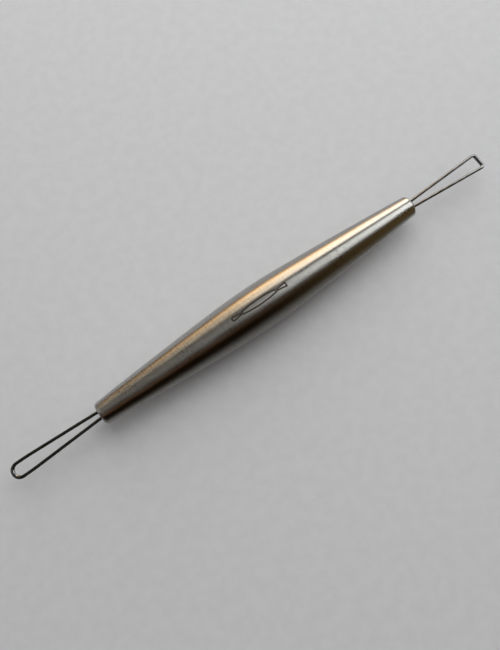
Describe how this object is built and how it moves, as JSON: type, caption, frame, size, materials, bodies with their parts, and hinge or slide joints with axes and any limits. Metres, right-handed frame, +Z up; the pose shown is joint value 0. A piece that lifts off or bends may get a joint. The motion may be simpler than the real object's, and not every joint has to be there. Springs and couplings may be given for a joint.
{
  "type": "wire loop tool",
  "caption": "Double-ended hand tool for trimming clay: a spindle-shaped turned steel handle with a rounded wire loop in one end and a squared wire loop in the other.",
  "frame": {"origin": "under the middle of the tool's overall length, on the surface that the widest part of the handle lies on", "axes": "+X along the tool towards the squared loop, +Y across it in the plane of both loops, +Z up"},
  "size_m": [0.1832, 0.015, 0.015],
  "materials": {
    "handle_steel": "fine lathe-brushed satin, scratches running round the handle",
    "loop_wire": "bright drawn spring wire with faint lengthwise draw lines",
    "cured_resin": "smooth cured adhesive"
  },
  "bodies": {
    "root": {"handle": "handle_steel", "round_loop": "loop_wire", "square_loop": "loop_wire", "round_end_resin": "cured_resin", "square_end_resin": "cured_resin"}
  },
  "joints": []
}
